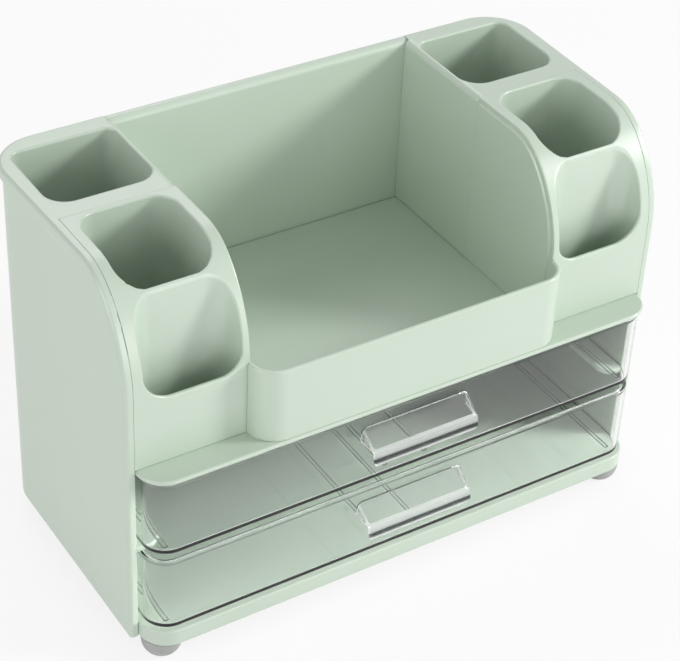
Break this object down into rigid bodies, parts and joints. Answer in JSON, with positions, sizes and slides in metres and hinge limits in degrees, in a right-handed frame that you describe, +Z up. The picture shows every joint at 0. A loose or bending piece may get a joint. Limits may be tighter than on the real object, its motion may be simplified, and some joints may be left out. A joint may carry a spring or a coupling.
{
  "type": "desktop organizer with drawers",
  "caption": "Desktop organizer: an open bin between curved towers with pockets for pens and small tools, over clear sliding drawers with hooded pulls.",
  "frame": {"origin": "on the floor, under the middle of the overall box", "axes": "+X to the right along the width, +Y to the back, +Z up; the drawers open towards -Y"},
  "size_m": [0.364, 0.2026, 0.254],
  "materials": {
    "mint_plastic": "satin gloss moulded plastic",
    "clear_plastic": "clear polished plastic",
    "foot_rubber": "matt soft rubber"
  },
  "bodies": {
    "case": {"left_side_frame": "mint_plastic", "right_side_frame": "mint_plastic", "back_panel": "mint_plastic", "base_tray": "mint_plastic", "drawer_deck": "mint_plastic", "left_front_caddy": "mint_plastic", "right_front_caddy": "mint_plastic", "bin_front_wall": "mint_plastic", "left_drawer_runner": "mint_plastic", "right_drawer_runner": "mint_plastic", "foot_front_left": "foot_rubber", "foot_front_right": "foot_rubber", "foot_rear_left": "foot_rubber", "foot_rear_right": "foot_rubber"},
    "upper_drawer_unit": {"upper_drawer": "clear_plastic", "upper_drawer_pull": "clear_plastic"},
    "lower_drawer_unit": {"lower_drawer": "clear_plastic", "lower_drawer_pull": "clear_plastic"}
  },
  "joints": [
    {"name": "upper_drawer_slide", "type": "slide", "parent": "case", "child": "upper_drawer_unit", "axis": [0, -1, 0], "range_m": [0, 0.12]},
    {"name": "lower_drawer_slide", "type": "slide", "parent": "case", "child": "lower_drawer_unit", "axis": [0, -1, 0], "range_m": [0, 0.12]}
  ]
}
